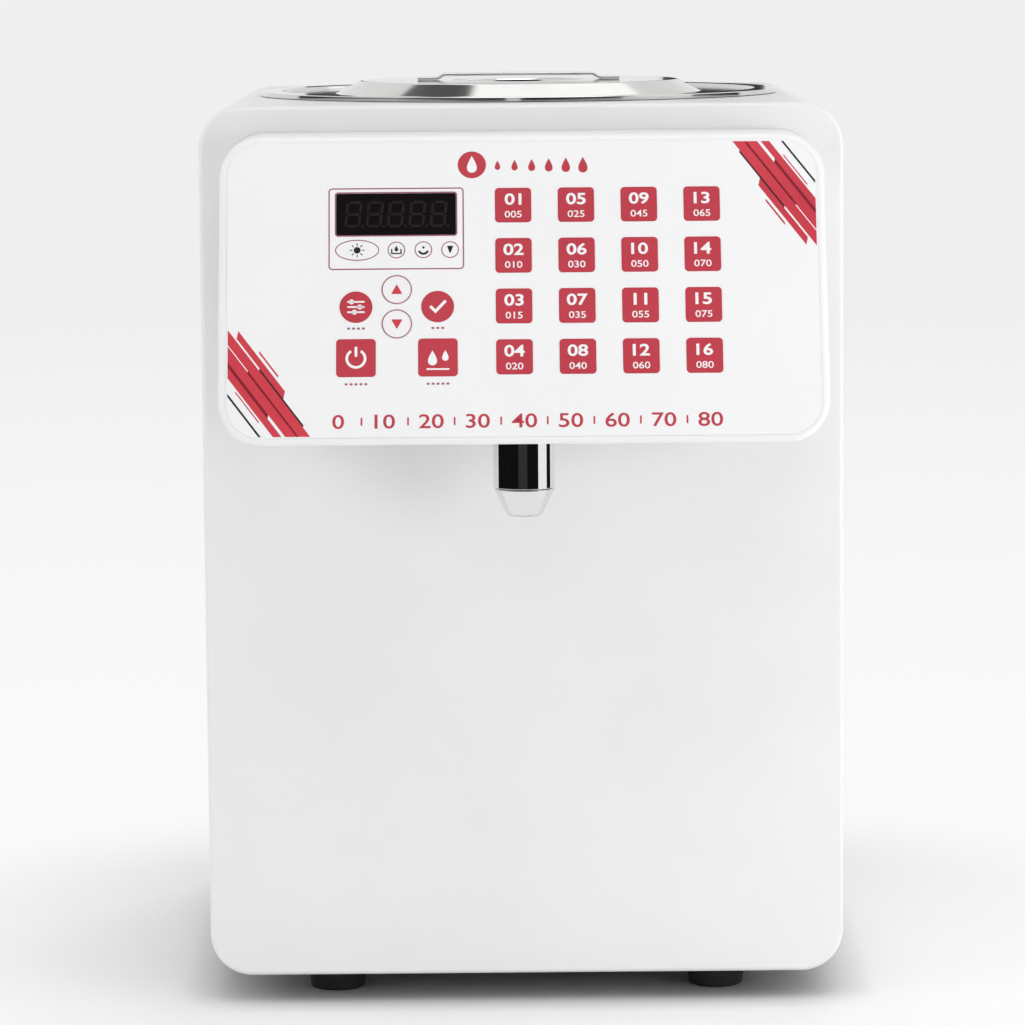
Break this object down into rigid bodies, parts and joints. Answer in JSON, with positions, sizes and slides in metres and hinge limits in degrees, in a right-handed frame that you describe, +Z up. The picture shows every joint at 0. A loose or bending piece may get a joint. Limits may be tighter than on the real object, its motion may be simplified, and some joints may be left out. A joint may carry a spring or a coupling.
{
  "type": "fructose dispenser",
  "caption": "Countertop syrup dispenser: upright white cabinet with a round lidded tank on top, an overhanging keypad head and a short chromed nozzle.",
  "frame": {"origin": "on the surface it stands on, under the centre of the whole dispenser's box", "axes": "+Z up, -Y the front that the keypad head looks along, +X to the right as seen from the front"},
  "size_m": [0.27, 0.363, 0.3916],
  "materials": {
    "white_coat": "semi-gloss white powder coat",
    "white_plastic": "smooth white moulding, semi-gloss",
    "overlay_film": "smooth polyester film",
    "red_key": "printed crimson key, smooth",
    "white_key": "white key, smooth",
    "dark_lens": "black tinted window, polished",
    "stainless": "bright rolled stainless",
    "chrome": "polished chrome plate",
    "black_rubber": "matt black rubber",
    "black_plastic": "matt black moulding",
    "silicone": "pale silicone",
    "board_green": "green board with solder mask",
    "aluminium": "satin aluminium",
    "brass": "turned brass"
  },
  "bodies": {
    "dispenser": {"base_plate": "stainless", "cabinet_shell": "white_coat", "control_board": "board_green", "delivery_hose": "silicone", "display_cable": "black_plastic", "display_module": "black_plastic", "display_window": "dark_lens", "foot_front_left": "black_rubber", "foot_front_right": "black_rubber", "foot_rear_left": "black_rubber", "foot_rear_right": "black_rubber", "gear_motor": "stainless", "graphic_overlay": "overlay_film", "head_shell": "white_plastic", "heater_band": "silicone", "inlet_socket": "black_plastic", "keypad_board": "board_green", "nozzle_nut": "brass", "nozzle_sleeve": "chrome", "nozzle_tip": "chrome", "nozzle_valve": "silicone", "outlet_nut": "stainless", "power_supply": "aluminium", "pump_bracket": "stainless", "pump_cover": "aluminium", "pump_housing": "aluminium", "rear_cover": "white_coat", "rocker_frame": "black_plastic", "suction_hose": "silicone", "tank": "stainless", "tank_outlet": "stainless", "thermostat": "black_plastic"},
    "lid": {"lid": "stainless", "lid_handle": "stainless"},
    "drive": {"drive_gear": "stainless"},
    "driven": {"driven_gear": "stainless"},
    "rocker": {"rocker": "black_plastic"},
    "dose_key_1_1": {"dose_key_1_1": "red_key"},
    "dose_key_2_1": {"dose_key_2_1": "red_key"},
    "dose_key_3_1": {"dose_key_3_1": "red_key"},
    "dose_key_4_1": {"dose_key_4_1": "red_key"},
    "dose_key_1_2": {"dose_key_1_2": "red_key"},
    "dose_key_2_2": {"dose_key_2_2": "red_key"},
    "dose_key_3_2": {"dose_key_3_2": "red_key"},
    "dose_key_4_2": {"dose_key_4_2": "red_key"},
    "dose_key_1_3": {"dose_key_1_3": "red_key"},
    "dose_key_2_3": {"dose_key_2_3": "red_key"},
    "dose_key_3_3": {"dose_key_3_3": "red_key"},
    "dose_key_4_3": {"dose_key_4_3": "red_key"},
    "dose_key_1_4": {"dose_key_1_4": "red_key"},
    "dose_key_2_4": {"dose_key_2_4": "red_key"},
    "dose_key_3_4": {"dose_key_3_4": "red_key"},
    "dose_key_4_4": {"dose_key_4_4": "red_key"},
    "set_key": {"set_key": "red_key"},
    "save_key": {"save_key": "red_key"},
    "up_key": {"up_key": "white_key"},
    "down_key": {"down_key": "white_key"},
    "power_key": {"power_key": "red_key"},
    "pump_key": {"pump_key": "red_key"}
  },
  "joints": [
    {"name": "lid_lift", "type": "slide", "parent": "dispenser", "child": "lid", "axis": [0, 0, 1], "range_m": [0, 0.06]},
    {"name": "dose_key_1_1_press", "type": "slide", "parent": "dispenser", "child": "dose_key_1_1", "axis": [0, 0.9272, -0.3746], "range_m": [0, 0.0004], "stiffness_N_per_m": 2000, "springref_m": -0.0002},
    {"name": "dose_key_2_1_press", "type": "slide", "parent": "dispenser", "child": "dose_key_2_1", "axis": [0, 0.9272, -0.3746], "range_m": [0, 0.0004], "stiffness_N_per_m": 2000, "springref_m": -0.0002},
    {"name": "dose_key_3_1_press", "type": "slide", "parent": "dispenser", "child": "dose_key_3_1", "axis": [0, 0.9272, -0.3746], "range_m": [0, 0.0004], "stiffness_N_per_m": 2000, "springref_m": -0.0002},
    {"name": "dose_key_4_1_press", "type": "slide", "parent": "dispenser", "child": "dose_key_4_1", "axis": [0, 0.9272, -0.3746], "range_m": [0, 0.0004], "stiffness_N_per_m": 2000, "springref_m": -0.0002},
    {"name": "dose_key_1_2_press", "type": "slide", "parent": "dispenser", "child": "dose_key_1_2", "axis": [0, 0.9272, -0.3746], "range_m": [0, 0.0004], "stiffness_N_per_m": 2000, "springref_m": -0.0002},
    {"name": "dose_key_2_2_press", "type": "slide", "parent": "dispenser", "child": "dose_key_2_2", "axis": [0, 0.9272, -0.3746], "range_m": [0, 0.0004], "stiffness_N_per_m": 2000, "springref_m": -0.0002},
    {"name": "dose_key_3_2_press", "type": "slide", "parent": "dispenser", "child": "dose_key_3_2", "axis": [0, 0.9272, -0.3746], "range_m": [0, 0.0004], "stiffness_N_per_m": 2000, "springref_m": -0.0002},
    {"name": "dose_key_4_2_press", "type": "slide", "parent": "dispenser", "child": "dose_key_4_2", "axis": [0, 0.9272, -0.3746], "range_m": [0, 0.0004], "stiffness_N_per_m": 2000, "springref_m": -0.0002},
    {"name": "dose_key_1_3_press", "type": "slide", "parent": "dispenser", "child": "dose_key_1_3", "axis": [0, 0.9272, -0.3746], "range_m": [0, 0.0004], "stiffness_N_per_m": 2000, "springref_m": -0.0002},
    {"name": "dose_key_2_3_press", "type": "slide", "parent": "dispenser", "child": "dose_key_2_3", "axis": [0, 0.9272, -0.3746], "range_m": [0, 0.0004], "stiffness_N_per_m": 2000, "springref_m": -0.0002},
    {"name": "dose_key_3_3_press", "type": "slide", "parent": "dispenser", "child": "dose_key_3_3", "axis": [0, 0.9272, -0.3746], "range_m": [0, 0.0004], "stiffness_N_per_m": 2000, "springref_m": -0.0002},
    {"name": "dose_key_4_3_press", "type": "slide", "parent": "dispenser", "child": "dose_key_4_3", "axis": [0, 0.9272, -0.3746], "range_m": [0, 0.0004], "stiffness_N_per_m": 2000, "springref_m": -0.0002},
    {"name": "dose_key_1_4_press", "type": "slide", "parent": "dispenser", "child": "dose_key_1_4", "axis": [0, 0.9272, -0.3746], "range_m": [0, 0.0004], "stiffness_N_per_m": 2000, "springref_m": -0.0002},
    {"name": "dose_key_2_4_press", "type": "slide", "parent": "dispenser", "child": "dose_key_2_4", "axis": [0, 0.9272, -0.3746], "range_m": [0, 0.0004], "stiffness_N_per_m": 2000, "springref_m": -0.0002},
    {"name": "dose_key_3_4_press", "type": "slide", "parent": "dispenser", "child": "dose_key_3_4", "axis": [0, 0.9272, -0.3746], "range_m": [0, 0.0004], "stiffness_N_per_m": 2000, "springref_m": -0.0002},
    {"name": "dose_key_4_4_press", "type": "slide", "parent": "dispenser", "child": "dose_key_4_4", "axis": [0, 0.9272, -0.3746], "range_m": [0, 0.0004], "stiffness_N_per_m": 2000, "springref_m": -0.0002},
    {"name": "set_key_press", "type": "slide", "parent": "dispenser", "child": "set_key", "axis": [0, 0.9272, -0.3746], "range_m": [0, 0.0004], "stiffness_N_per_m": 2000, "springref_m": -0.0002},
    {"name": "save_key_press", "type": "slide", "parent": "dispenser", "child": "save_key", "axis": [0, 0.9272, -0.3746], "range_m": [0, 0.0004], "stiffness_N_per_m": 2000, "springref_m": -0.0002},
    {"name": "up_key_press", "type": "slide", "parent": "dispenser", "child": "up_key", "axis": [0, 0.9272, -0.3746], "range_m": [0, 0.0004], "stiffness_N_per_m": 2000, "springref_m": -0.0002},
    {"name": "down_key_press", "type": "slide", "parent": "dispenser", "child": "down_key", "axis": [0, 0.9272, -0.3746], "range_m": [0, 0.0004], "stiffness_N_per_m": 2000, "springref_m": -0.0002},
    {"name": "power_key_press", "type": "slide", "parent": "dispenser", "child": "power_key", "axis": [0, 0.9272, -0.3746], "range_m": [0, 0.0004], "stiffness_N_per_m": 2000, "springref_m": -0.0002},
    {"name": "pump_key_press", "type": "slide", "parent": "dispenser", "child": "pump_key", "axis": [0, 0.9272, -0.3746], "range_m": [0, 0.0004], "stiffness_N_per_m": 2000, "springref_m": -0.0002},
    {"name": "rocker_tilt", "type": "hinge", "parent": "dispenser", "child": "rocker", "pos_m": [-0.03, 0.17658, 0.06], "axis": [1, 0, 0], "range_deg": [0, 16]},
    {"name": "drive_spin", "type": "hinge", "parent": "dispenser", "child": "drive", "pos_m": [0, -0.01592, 0.058], "axis": [0, 1, 0], "continuous": true},
    {"name": "driven_spin", "type": "hinge", "parent": "dispenser", "child": "driven", "pos_m": [0, -0.01592, 0.07804], "axis": [0, 1, 0], "continuous": true}
  ],
  "couplings": [
    {"joint": "driven_spin", "follows": "drive_spin", "ratio": -1}
  ]
}
